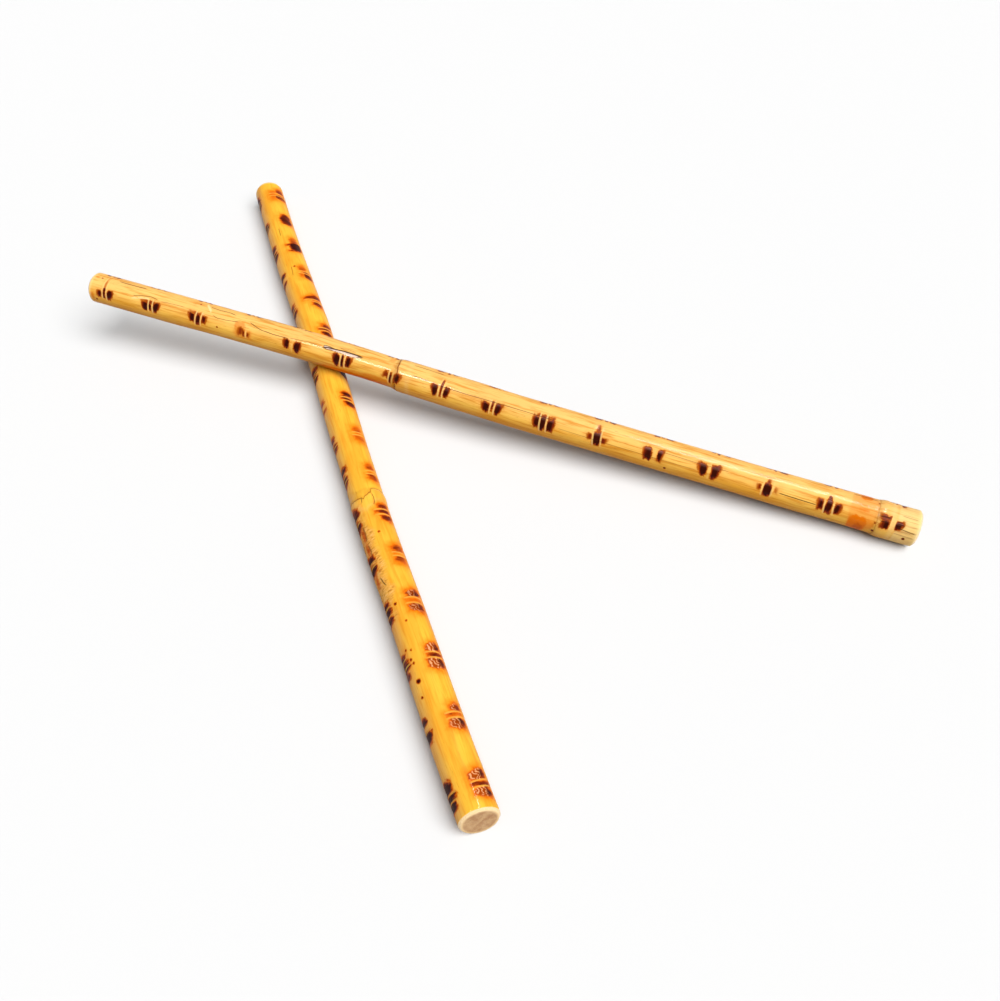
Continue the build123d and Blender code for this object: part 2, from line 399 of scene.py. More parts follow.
def fit_circle(points):
    """The centre and radius of the circle through points round it."""
    middle = points.mean(axis=0)
    spread = points - middle
    terms = np.column_stack([2 * spread, np.ones(len(spread))])
    flat = 1e-3  # a ring has no thickness, so that direction is left out
    solved = np.linalg.lstsq(terms, (spread ** 2).sum(axis=1), rcond=flat)[0]
    centre = solved[:3]
    return middle + centre, math.sqrt(solved[3] + centre @ centre)


# ---- What is on the skin, as fields over (along, angle)

def lobe_depth(lobe, along, angle, radius, squareness=SQUARENESS):
    """How far inside a lobe's outline each place is, in mm, negative outside. It is a box with rounded
    corners, which narrows towards its bottom, or its top if taper is negative: on its outer side, or on
    both if it has none."""
    half_height = math.radians(lobe.bottom - lobe.top) / 2 * radius
    across = np.radians(wrapped(angle - (lobe.top + lobe.bottom) / 2)) * radius / half_height
    share = np.clip((1 + across * math.copysign(1, lobe.taper)) / 2, 0, 1)
    cut = abs(lobe.taper) * (lobe.end - lobe.start) * share ** 1.5
    start = lobe.start + cut * (1 - lobe.outer) / 2
    end = lobe.end - cut * (1 + lobe.outer) / 2
    half_length = (end - start) / 2
    lengthways = np.abs(along - (start + end) / 2) / half_length
    distance = (lengthways ** squareness + np.abs(across) ** squareness) ** (1 / squareness)
    depth = (1 - distance) * np.minimum(half_length, half_height)
    past_ends = np.maximum(lengthways - 1, 0) * half_length
    past_sides = np.maximum(np.abs(across) - 1, 0) * half_height
    return np.minimum(depth, -np.hypot(past_ends, past_sides) + FAR * (distance < 1))


def hidden_mark(rng, along, row):
    """A mark like the others, for a row that is out of sight: three lobes, round this angle."""
    lobes = []
    for start, end in ((-8.5, -2.8), (-1.4, 0.8), (2.6, 8.2)):
        shift = rng.uniform(-0.8, 0.8)
        top, bottom = row - rng.uniform(12, 20), row + rng.uniform(16, 30)
        lobes.append((start + shift, end + shift, top, bottom, rng.uniform(-0.2, 0.6), rng.uniform(0.6, 1)))
    return mark(along, rng.uniform(-0.5, 0.5), rng.uniform(3, 4.5), *lobes)


def hidden_row(rng, row):
    """Marks all along a stick, round this angle."""
    return [hidden_mark(rng, FIRST_MARK + MARK_PITCH * i + rng.uniform(-1.5, 1.5), row)
            for i in range(MARKS_IN_ROW)]


def lobe_fields(m, along, angle, radius, wobble, cane, black):
    """How far inside a mark's lobes each place is, how black it is now, and 1 where it can blister."""
    depth = np.full(wobble.shape, -FAR)
    puffed = np.zeros(wobble.shape)
    for lobe in m.lobes:
        length = lobe.end - lobe.start
        inside = lobe_depth(lobe, along, angle, radius, cane.squareness)
        inside = inside + wobble * min(1.0, length / STEADY_LOBE)
        outward = (along - (lobe.start + lobe.end) / 2) * lobe.outer / length
        outer_side = smooth_step(-0.1, 0.45, outward)
        inside = inside + cane.spread * outer_side
        near = inside > depth
        depth = np.where(near, inside, depth)
        puffed = np.where(near, length > NARROW_LOBE, puffed)
        burn = lobe.burn * (1 - cane.fade * outer_side)
        black = np.where(near & (inside > -BURN_REACH), burn, black)
    return depth, black, puffed


def ring_fields(m, along, angle, top, bottom, lean):
    """Distance past the middle of a mark's two rings, which slant by lean, and how strong they are."""
    from_middle = wrapped(angle - (top + bottom) / 2)
    slant = 0.10 * lean + 0.02 * from_middle / 10
    off = along - (m.along + m.mid + slant * from_middle / 6)
    extent = smooth_step(-12, -2, wrapped(angle - top)) * smooth_step(-8, 0, wrapped(bottom - angle))
    return off, extent * (np.abs(off) < RING_REACH)


Burns = namedtuple("Burns", "depth black heat blister ring_place ring_gap ring_amount")


def burn_fields(rng, marks, dots, heat_and_shade_patches, along, angle, radius, cane):
    """Scorch depth in mm, how black, heat tint, which some patches use for painted shade, and blistering. A
    mark's pale rings are ring_gap mm to each side of where ring_place is 0, as strong as ring_amount."""
    wobble = cane.wobble * (waves(rng, along, angle, 3.0, 24) + waves(rng, along, angle, 7.0, 9))
    burns = Burns(*(np.full(wobble.shape, value) for value in (-FAR, 0.8, 0.0, 0.0, FAR, 1.5, 0.0)))
    for m in marks:
        rows = np.abs(along[:, 0] - m.along) < MARK_REACH
        near = along[rows]
        depth, black, puffed = lobe_fields(m, near, angle, radius, wobble[rows], cane, burns.black[rows])
        burns.black[rows] = black
        burns.depth[rows] = np.maximum(burns.depth[rows], depth)
        warmth = m.heat * np.exp(-(np.minimum(depth, 0) / cane.glow) ** 2)
        burns.heat[rows] = np.maximum(burns.heat[rows], warmth)

        top = min(lobe.top for lobe in m.lobes)
        bottom = max(lobe.bottom for lobe in m.lobes)
        swollen = m.blister * puffed * smooth_step(0.25, 0.50, wrapped(angle - top) / (bottom - top))
        burns.blister[rows] = np.where(depth > -BLISTER_REACH, swollen, burns.blister[rows])
        off, extent = ring_fields(m, near, angle, top, bottom, rng.uniform(-1, 1))
        band = extent > 0
        burns.ring_place[rows] = np.where(band, off, burns.ring_place[rows])
        burns.ring_gap[rows] = np.where(band, m.gap / 2, burns.ring_gap[rows])
        burns.ring_amount[rows] = np.where(band, extent * (m.gap > NO_RINGS), burns.ring_amount[rows])
    for place, turn, size in dots:
        offset = np.hypot(along - place, np.radians(wrapped(angle - turn)) * radius)
        inside = 1.6 * (size - offset)
        burns.black[inside > burns.depth] = 1.0
        np.maximum(burns.depth, inside, out=burns.depth)
    for patch in heat_and_shade_patches:
        inside = lobe_depth(patch, along, angle, radius, cane.squareness) + 0.9 * wobble
        np.maximum(burns.heat, patch.burn * smooth_step(-1.0, 1.2, inside), out=burns.heat)
    return burns


def split_fields(splits, along, angle, radius):
    """Signed distance to the nearest split over its half width, and how dark it is there, or, if that is
    negative, how bright its painted glint is."""
    shape = np.broadcast(along, angle).shape
    distance = np.full(shape, FAR)
    amount = np.zeros(shape)
    for split in splits:
        places, turns = zip(*split.points)
        middle = np.interp(along, places, turns)
        turned = np.interp(along + 0.5, places, turns) - np.interp(along - 0.5, places, turns)
        slope = np.radians(turned) * radius
        off = np.radians(wrapped(angle - middle)) * radius / np.sqrt(1 + slope ** 2)
        within = (smooth_step(places[0] - 0.2, places[0] + SPLIT_FADE, along)
                  * smooth_step(-places[-1] - 0.2, -places[-1] + SPLIT_FADE, -along))
        here = split.dark * within * (1 - smooth_step(1.2, 2.2, np.abs(off)))
        better = np.abs(here) > np.abs(amount)
        distance = np.where(better, off / split.width, distance)
        amount = np.where(better, here, amount)
    return distance, amount


NodeFields = namedtuple("NodeFields", "past strength swell pale")


def node_fields(rng, nodes, along, angle):
    """Distance past the nearest node's crack in mm, how strong it is, its swelling and pale ring."""
    shape = np.broadcast(along, angle).shape
    past = np.full(shape, FAR)
    strength = np.zeros(shape)
    swell = np.zeros(shape)
    pale = np.zeros(shape)
    jag = 0.22 * waves(rng, 0 * along, angle, 1.0, 40)
    for node in nodes:
        turns, places = zip(*node.crack)
        middle = np.interp(angle, turns, places, period=360) + jag
        off = along - middle
        near = np.abs(off) < NODE_REACH
        past = np.where(near, off, past)
        strength = np.where(near, node.amount * smooth_step(-NODE_REACH, -9, -np.abs(off)), strength)
        swell += node.swell * np.exp(-((off - 3.0) / 3.2) ** 2)
        pale += node.pale * (np.exp(-((off - 10.0) / 1.8) ** 2) + 0.4 * smooth_step(0.0, 0.6, off)
                             * smooth_step(-15.0, -9.0, -off))
    return NodeFields(past, strength, swell, pale)


def flake_field(rng, flakes, along, angle, radius):
    """How far inside a lifted flake of varnish each place is, in mm."""
    depth = np.full(np.broadcast(along, angle).shape, -FAR)
    for flake in flakes:
        inside = lobe_depth(flake, along, angle, radius) + 0.3 * waves(rng, along, angle, 18.0, 20)
        depth = np.maximum(depth, inside)
    return depth


def rough_field(rng, patch, along, angle, radius):
    """How wrinkled and dull the skin is, from 0 to 1. It is 0 all over without a patch."""
    if not patch:
        return np.zeros(np.broadcast(along, angle).shape)
    inside = lobe_depth(patch, along, angle, radius) + 1.6 * waves(rng, along, angle, 14.0, 6)
    return smooth_step(-1.0, 4.0, inside)


# ---- A cane's mesh

def ring_places(stick, zones):
    """Places along for the rings of points, close together inside the zones."""
    places, at = [], CHAMFER
    while at < stick.length - CHAMFER - FINE_STEP / 2:
        places.append(at)
        fine = any(low <= at <= high for low, high in zones)
        at += FINE_STEP if fine else COARSE_STEP
    places.append(stick.length - CHAMFER)
    return places


def fine_zones(stick, marks, dots, nodes):
    """The stretches that need close rings. The rows of marks line up, so the first row says where."""
    zones = [(m.along - 11, m.along + 11) for m in marks[:MARKS_IN_ROW]]
    zones += [(n.crack[0][1] - 6, n.crack[0][1] + 10) for n in nodes]
    zones += [(place - 2, place + 2) for place, _, _ in dots]
    zones += [(0, 5), (stick.length - 5, stick.length)]
    return zones


class Surface:
    """Rings of points for one stick: skin, chamfers and sawn faces, tip to butt."""

    def __init__(self, stick, zones):
        skin = ring_places(stick, zones)
        bevel = np.linspace(0, 1, CHAMFER_RINGS)[1:]
        face = np.linspace(0, 1, FACE_RINGS + 1)[1:-1]
        rows = [(0.0, 1.0, 1.0 - f, SAWN) for f in face[::-1]]
        rows += [(CHAMFER * (1 - t), t, 1.0, SANDED) for t in bevel[::-1]]
        rows += [(place, 0.0, 1.0, VARNISHED) for place in skin]
        rows += [(stick.length - CHAMFER * (1 - t), t, 1.0, SANDED) for t in bevel]
        rows += [(stick.length, 1.0, 1.0 - f, SAWN) for f in face]
        table = np.array(rows)
        self.along = table[:, 0:1]
        self.chamfered = table[:, 1:2]  # 0 on the skin, 1 past the chamfer
        self.share = table[:, 2:3]  # of the sawn face's radius
        self.part = table[:, 3].astype(int)
        self.angle = np.linspace(-180, 180, AROUND, endpoint=False)[None, :]


def cane_faces(part):
    """Quads between the rings and fans at the two centres, with each face's material index."""
    rings = len(part)
    first = np.arange(rings - 1)[:, None] * AROUND
    here = np.arange(AROUND)[None, :]
    after = (here + 1) % AROUND
    quads = np.stack([first + here, first + after, first + AROUND + after, first + AROUND + here], axis=-1)
    kinds = np.repeat(np.maximum(part[:-1], part[1:]), AROUND)
    tip_centre, butt_centre = rings * AROUND, rings * AROUND + 1
    last = (rings - 1) * AROUND
    faces = quads.reshape(-1, 4).tolist()
    for i in range(AROUND):
        j = (i + 1) % AROUND
        faces.append([tip_centre, j, i])
        faces.append([butt_centre, last + i, last + j])
    return faces, np.concatenate([kinds, np.full(2 * AROUND, SAWN)])


def put_attribute(mesh, name, *columns):
    """A vector per point, from three fields over the rings. The two centre points copy a neighbour."""
    values = np.stack([np.broadcast_to(c, columns[0].shape) for c in columns], axis=-1).reshape(-1, 3)
    values = np.concatenate([values, values[:1], values[-1:]])
    attribute = mesh.attributes.new(name, "FLOAT_VECTOR", "POINT")
    attribute.data.foreach_set("vector", values.astype(np.float32).ravel())


def skin_relief(rng, surface, radius, burns, growth, flake, roughness):
    """How far the skin rises above its inset, in mm, and its folds' phase, whose sine is their height."""
    along, angle = surface.along, surface.angle
    off_ring = np.abs(burns.ring_place) - burns.ring_gap
    ring_ridge = burns.ring_amount * np.exp(-(off_ring / RIDGE_WIDTH) ** 2)
    sunk = smooth_step(-0.15, 0.7, burns.depth) * (1 - 0.85 * ring_ridge)
    edge = np.exp(-((burns.depth + 0.15) / LIP_WIDTH) ** 2) * (1 - ring_ridge)
    crack = np.exp(-(growth.past / CRACK_WIDTH) ** 2) * growth.strength
    wrinkles = waves(rng, along, angle, 2.6, 7, count=26)
    folds = (np.radians(angle) * radius + FOLD_SLANT * along) * math.tau / FOLD_PITCH
    folds = folds + FOLD_WARP * waves(rng, along, angle, 4.5, 14, count=26)
    uneven = waves(rng, along, angle, 60.0, 7) + 0.5 * waves(rng, along, angle, 160.0, 14)
    relief = (-BURN_DENT * sunk * burns.black + BURN_LIP * edge * burns.black
              + FOLD * sunk * burns.blister * np.sin(folds)
              + RING_RISE * ring_ridge
              - NODE_CRACK * crack + NODE_SWELL * growth.swell
              + FLAKE_STEP * smooth_step(-0.3, 0.2, flake)
              + WRINKLE * roughness * wrinkles
              + UNEVEN * uneven)
    return np.minimum(relief, SKIN_INSET), folds


def place_points(rng, stick, surface, relief, off_square):
    """The mesh's points in metres, and the rings' places along and radii in mm. The sawn butt leans back by
    off_square across its width."""
    along, angle = surface.along, surface.angle
    on_skin = 1 - smooth_step(0.0, 1.0, surface.chamfered)
    set_back = 0.5 * (1 + surface.share * np.cos(np.radians(angle - LEAN_TOWARDS)))
    near_butt = smooth_step(stick.length - LEAN_LENGTH, stick.length, along)
    sawn = SAW_MARKS * waves(rng, 0 * along, angle, 1.0, 30) * surface.share * (surface.share < 1)
    place = along - off_square * near_butt * set_back
    place = place + np.where(along < stick.length / 2, 1, -1) * np.abs(sawn)
    radius = stick.radius(along) - SKIN_INSET + relief * on_skin - CHAMFER * surface.chamfered
    radius = radius * surface.share
    right, up = stick.directions(along[:, 0])
    turn = np.radians(angle)[..., None]
    spoke = np.sin(turn) * right[:, None, :] + np.cos(turn) * up[:, None, :]
    points = stick.centre(place) + radius[..., None] * spoke
    centres = stick.centre(np.array([0.0, stick.length - off_square / 2]))
    points = np.concatenate([points.reshape(-1, 3), centres]) * MM + stick.tip
    return points, place, radius


def cane_mesh(name, part, points):
    """A closed mesh, with its varnished, sanded and sawn faces told apart."""
    faces, kinds = cane_faces(part)
    mesh = bpy.data.meshes.new(name)
    mesh.from_pydata(points.tolist(), [], faces)
    mesh.polygons.foreach_set("material_index", kinds.astype(np.int32))
    mesh.polygons.foreach_set("use_smooth", np.ones(len(faces), bool))
    return mesh


def build_cane(name, node, cane, seed, marks, dots, splits, nodes, flakes=(), heat_and_shade_patches=(), rough=None,
               off_square=0.0, bare_from=NOWHERE):
    """One cane, with its marks, rings, nodes and splits in its shape and in its points' attributes."""
    rng = random.Random(seed)
    stick = Stick(node)
    mean_radius = float(stick.radius(np.array([stick.length / 2]))[0])
    surface = Surface(stick, fine_zones(stick, marks, dots, nodes))
    along, angle = surface.along, surface.angle

    burns = burn_fields(rng, marks, dots, heat_and_shade_patches, along, angle, mean_radius, cane)
    split, split_dark_and_glint = split_fields(splits, along, angle, mean_radius)
    growth = node_fields(rng, nodes, along, angle)
    flake = flake_field(rng, flakes, along, angle, mean_radius)
    roughness = rough_field(rng, rough, along, angle, mean_radius)
    bare = smooth_step(bare_from, bare_from + 1.5, along)
    relief, folds = skin_relief(rng, surface, mean_radius, burns, growth, flake, roughness)
    points, place, radius = place_points(rng, stick, surface, relief, off_square)

    mesh = cane_mesh(name, surface.part, points)
    turn = np.radians(angle)
    put_attribute(mesh, "cane", place, radius * np.cos(turn), radius * np.sin(turn))
    put_attribute(mesh, "burn", burns.depth, burns.black, burns.heat)
    put_attribute(mesh, "ring", burns.ring_place, burns.ring_gap, burns.ring_amount)
    put_attribute(mesh, "split", split, split_dark_and_glint, np.clip(flake, -3, 3))
    put_attribute(mesh, "node", growth.past, growth.strength, growth.pale)
    put_attribute(mesh, "skin", roughness, burns.blister, bare)
    put_attribute(mesh, "fold", folds, folds, folds)
    mesh.update()
    piece = add_object(name, mesh)
    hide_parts(node)
    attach(piece, node)
    return piece


# ---- Materials

def srgb(red, green, blue):
    """A colour given as 0 to 255 in a picture's own scale, as the shader's linear numbers."""
    linear = []
    for level in (red, green, blue):
        share = level / 255
        linear.append(share / 12.92 if share <= 0.04045 else ((share + 0.055) / 1.055) ** 2.4)
    return (*linear, 1.0)


def operator(operation, swapped=False):
    """A method that works out a field from this one and another field or number."""
    def method(self, other):
        values = (other, self) if swapped else (self, other)
        return self.tree.math(operation, *values)
    return method


class Field:
    """A number that varies over a surface: a node's output, with arithmetic."""

    def __init__(self, tree, socket):
        self.tree = tree
        self.socket = socket

    __add__ = __radd__ = operator("ADD")
    __sub__ = operator("SUBTRACT")
    __rsub__ = operator("SUBTRACT", swapped=True)
    __mul__ = __rmul__ = operator("MULTIPLY")
    most = operator("MAXIMUM")

    def __abs__(self):
        return self.tree.math("ABSOLUTE", self)

    def step(self, low, high):
        """0 below low and 1 above high, smooth between; the other way round where low is above high."""
        if low > high:
            return 1 - self.step(high, low)
        node = self.tree.node("ShaderNodeMapRange", interpolation_type="SMOOTHSTEP")
        node.inputs["From Min"].default_value = low
        node.inputs["From Max"].default_value = high
        self.tree.feed(node.inputs["Value"], self)
        return Field(self.tree, node.outputs["Result"])


FAN = 0.045  # how much strokes spread, per millimetre round the stick


class Tree:
    """One material's nodes."""

    def __init__(self, name):
        self.material = bpy.data.materials.new(name)
        self.material.use_nodes = True
        self.nodes = self.material.node_tree.nodes
        self.links = self.material.node_tree.links
        self.shader = self.nodes["Principled BSDF"]
        self.colour = None  # the colour so far

    def node(self, kind, **settings):
        node = self.nodes.new(kind)
        for key, value in settings.items():
            setattr(node, key, value)
        return node

    def feed(self, socket, value):
        """Links a field or an output into a socket, or sets the socket's own value."""
        if isinstance(value, Field):
            value = value.socket
        if isinstance(value, bpy.types.NodeSocket):
            self.links.new(value, socket)
        else:
            socket.default_value = value

    def math(self, operation, *values):
        node = self.node("ShaderNodeMath", operation=operation)
        for socket, value in zip(node.inputs, values):
            self.feed(socket, value)
        return Field(self, node.outputs[0])

    def attribute(self, name):
        return self.node("ShaderNodeAttribute", attribute_name=name).outputs["Vector"]

    def parts(self, vector):
        """A vector's three numbers, as fields."""
        node = self.node("ShaderNodeSeparateXYZ")
        self.feed(node.inputs[0], vector)
        return [Field(self, output) for output in node.outputs]

    def texture(self, kind, vector, scale, shift=0.0):
        """A texture's node. scale is (along, across): how many lumps there are in a millimetre."""
        mapping = self.node("ShaderNodeMapping")
        self.feed(mapping.inputs["Vector"], vector)
        self.feed(mapping.inputs["Scale"], (scale[0], scale[1], scale[1]))
        self.feed(mapping.inputs["Location"], (shift, shift, shift))
        node = self.node(kind)
        self.feed(node.inputs["Vector"], mapping.outputs[0])
        self.feed(node.inputs["Scale"], 1.0)
        return node

    def noise(self, vector, scale, detail, roughness, shift=0.0):
        """Noise from 0 to 1."""
        node = self.texture("ShaderNodeTexNoise", vector, scale, shift)
        self.feed(node.inputs["Detail"], detail)
        self.feed(node.inputs["Roughness"], roughness)
        return Field(self, node.outputs["Fac"])

    def cells(self, vector, scale):
        """Distance to the nearest of many scattered points, for pores."""
        return Field(self, self.texture("ShaderNodeTexVoronoi", vector, scale).outputs["Distance"])

    def fan(self, place, from_middle):
        """The same places, with the ones beside a mark's middle spread out as they go round the stick."""
        along, up, side = self.parts(place)
        node = self.node("ShaderNodeCombineXYZ")
        for socket, value in zip(node.inputs, (along + from_middle * side * FAN, up, side)):
            self.feed(socket, value)
        return node.outputs[0]

    def paint(self, amount, colour):
        """Lays a colour over the one so far: none of it where amount is 0, and all where it is 1."""
        node = self.node("ShaderNodeMix", data_type="RGBA")
        self.feed(node.inputs[0], amount)
        self.feed(node.inputs[6], self.colour)
        self.feed(node.inputs[7], colour)
        self.colour = node.outputs[2]

    def relief(self, height, millimetres):
        """A bump normal, for height fields from 0 to 1 that stand for this many millimetres."""
        node = self.node("ShaderNodeBump")
        self.feed(node.inputs["Distance"], millimetres * MM)
        self.feed(node.inputs["Height"], height)
        self.feed(self.shader.inputs["Normal"], node.outputs[0])

    def finish(self, roughness, coat, coat_roughness):
        self.feed(self.shader.inputs["Base Color"], self.colour)
        self.feed(self.shader.inputs["Roughness"], roughness)
        self.feed(self.shader.inputs["Coat Weight"], coat)
        self.feed(self.shader.inputs["Coat Roughness"], coat_roughness)
        return self.material


# A cane's look: its skin's colours from light to streak, and a scorch's from the heat round it to its char.
# A scorch darkens from soft mm outside its outline to core mm inside. Outlines stray by wobble mm, lobes grow
# by spread mm on their outer side, and heat tints glow mm round a mark. gloss is the skin's roughness. The
# rest are strengths: bleach is a painted sheen along the top, ripe painted shade underneath, tan a
# painted sheen down the right side, fade on a lobe's outer side, and dust a painted sheen on char
# along the top.
Cane = namedtuple("Cane", "light middle deep streak heat halo edge char ring soft core strokes grain gloss "
                          "wobble squareness bleach ripe fade spread dust glow tan")
STRAW = Cane(light=srgb(204, 159, 64), middle=srgb(195, 139, 41), deep=srgb(173, 106, 21),
             streak=srgb(108, 52, 10), heat=srgb(186, 92, 2), halo=srgb(146, 70, 8), edge=srgb(104, 30, 4),
             char=srgb(44, 7, 1), ring=srgb(212, 174, 104), soft=1.3, core=1.4, strokes=0.7, grain=0.98,
             gloss=0.30, wobble=0.24, squareness=2.9, bleach=0.62, ripe=0.6, fade=0.5, spread=0.7, dust=0.8,
             glow=2.4, tan=0.0)
AMBER = Cane(light=srgb(211, 158, 44), middle=srgb(207, 144, 34), deep=srgb(200, 120, 26),
             streak=srgb(130, 66, 10), heat=srgb(200, 104, 4), halo=srgb(180, 80, 4), edge=srgb(112, 34, 4),
             char=srgb(48, 8, 2), ring=srgb(212, 156, 62), soft=2.4, core=1.9, strokes=1.0, grain=0.7,
             gloss=0.30, wobble=0.3, squareness=2.4, bleach=0.04, ripe=0.5, fade=0.3, spread=0.0, dust=0.0,
             glow=4.4, tan=0.5)
CRACK = srgb(56, 28, 12)
DULL_SKIN = srgb(204, 148, 66)
# Pale skin, also the colour of painted glints
PALE_SKIN_AND_GLINT = srgb(206, 182, 124)
FOLD_SKIN = srgb(202, 142, 94)
SCUFF = srgb(176, 164, 160)
# Pale colour of the painted sheen, and of the dull skin's wrinkles
PALE_SHEEN_AND_WRINKLES = srgb(214, 168, 104)
SCALD = srgb(148, 58, 0)
CHAR_SHEEN_COLOUR = srgb(146, 96, 82)
# Colour of the painted sheen on char
CHAMFER_PALE = srgb(202, 177, 137)
CHAMFER_DEEP = srgb(192, 160, 112)
CORE_PALE = srgb(166, 132, 90)
CORE_DEEP = srgb(140, 100, 62)
CORE_RIM = srgb(200, 170, 124)
PORE = srgb(100, 65, 38)

HALF_LENGTH = 330.0  # mm, of a stick
WORN_FROM = 4.2  # mm from a stick's end where its skin starts to pale
WORN_TO = 1.2
SKIN_BUMP = 0.14  # mm of relief in each finish
CHAMFER_BUMP = 0.06
SAWN_BUMP = 0.05
BASE_SPECULAR = 0.02  # the wood's own shine: nearly all of the gloss is the coat's
COAT_WEIGHT = 0.04
COAT_ROUGHNESS = 0.09
COAT_IOR = 2.2  # high, so that a weak coat still mirrors the strip lights


def paint_fibres(tree, place, cane, shift):
    """Varnished cane: broad bands, painted sheen along the top and down the right side, painted shade
    underneath, lengthways grain and a few dark fibres. Gives the fibres' field.
    """
    bands = tree.noise(place, (0.014, 0.16), 3, 0.55, shift)
    clouds = tree.noise(place, (0.03, 0.06), 2, 0.5, shift + 21)
    grain = tree.noise(place, (0.035, 0.5), 3, 0.6, shift + 5)
    streaks = tree.noise(place, (0.03, 1.1), 3, 0.6, shift + 9)
    flecks = tree.noise(place, (0.12, 1.3), 2, 0.6, shift + 17)
    _, up, side = tree.parts(place)
    tree.colour = cane.middle
    tree.paint((bands + clouds).step(0.8, 1.2), cane.light)
    # Painted sheen: the skin paler along the top
    tree.paint(up.step(2.0, 12.5) * cane.bleach, PALE_SHEEN_AND_WRINKLES)
    # Painted sheen: the skin paler down its right side
    tree.paint(side.step(5.0, 12.0) * cane.tan, PALE_SHEEN_AND_WRINKLES)
    # Painted shade: the skin deeper underneath
    tree.paint(up.step(6.0, -6.0) * cane.ripe, cane.deep)
    tree.paint(grain.step(0.46, 0.68) * 0.75 * cane.grain, cane.deep)
    tree.paint(streaks.step(0.56, 0.72) * 0.45 * cane.grain, cane.deep)
    tree.paint(flecks.step(0.66, 0.74) * 0.5 * cane.grain, cane.streak)
    return streaks


def paint_scorch(tree, cane, place, strokes, fibres, ragged):
    """A mark's halo, edge and char, a painted sheen on the char along the top, its blistered folds and its
    rings.
    Gives the char's field."""
    depth, black, _ = tree.parts(tree.attribute("burn"))
    ring_place, ring_gap, ring_amount = tree.parts(tree.attribute("ring"))
    blister = tree.parts(tree.attribute("skin"))[1]
    folds = tree.math("SINE", tree.parts(tree.attribute("fold"))[0])
    up = tree.parts(place)[1]

    edge = depth + (ragged - 0.5) * 1.4
    in_mark = depth.step(-cane.soft - 0.5, 0.3)
    level = edge.step(-cane.soft, cane.core) * black + (strokes - 0.5) * cane.strokes * in_mark * black
    folded = blister * depth.step(-0.3, 0.5)
    char = level.step(0.50, 0.88) * (1 - folded * 0.85)
    tree.paint(level.step(0.04, 0.36), cane.halo)
    tree.paint(level.step(0.32, 0.56) * (1 - folded * 0.45), cane.edge)
    tree.paint(char, cane.char)
    # Painted sheen: char paler and mauve along the top
    char_sheen_mask = up.step(8.2, 10.4) * level.step(0.3, 0.7)
    tree.paint(char_sheen_mask * fibres.step(0.3, 0.7) * cane.dust, CHAR_SHEEN_COLOUR)
    rim = abs(edge - 0.6).step(0.55, 0.15) * folds.step(-0.7, 0.4)
    crests = folds.step(0.0, 0.8) * ragged.step(0.36, 0.52)
    tree.paint(folded * crests.most(rim) * 0.9, FOLD_SKIN)

    ring = abs(abs(ring_place) - ring_gap).step(0.78, 0.42) * ring_amount
    tree.paint(ring * depth.step(-3.0, 0.3) * 0.62, cane.ring)
    return char


def paint_cracks(tree, cane, ragged):
    """A node's crack, and splits: dark ones, and pale ones that are painted glints. Gives the fields of the
    crack and the dark splits.
    """
    past, strength, _ = tree.parts(tree.attribute("node"))
    split, split_dark_and_glint, _ = tree.parts(tree.attribute("split"))
    node_line = abs(past + (ragged - 0.5) * 0.5).step(0.45, 0.15) * strength
    stained = past.step(-3.5, 0.0) * past.step(1.5, 0.2)
    tree.paint(stained * strength * 0.45, cane.streak)
    tree.paint(node_line * 0.9, cane.edge)
    split_line = abs(split + (ragged - 0.5) * 1.2).step(2.1, 0.9)
    dark_line = split_line * split_dark_and_glint.most(0.0)
    tree.paint(dark_line, CRACK)
    # Pale splits are painted glints
    tree.paint(split_line * (0 - split_dark_and_glint).most(0.0), PALE_SKIN_AND_GLINT)
    return node_line, dark_line


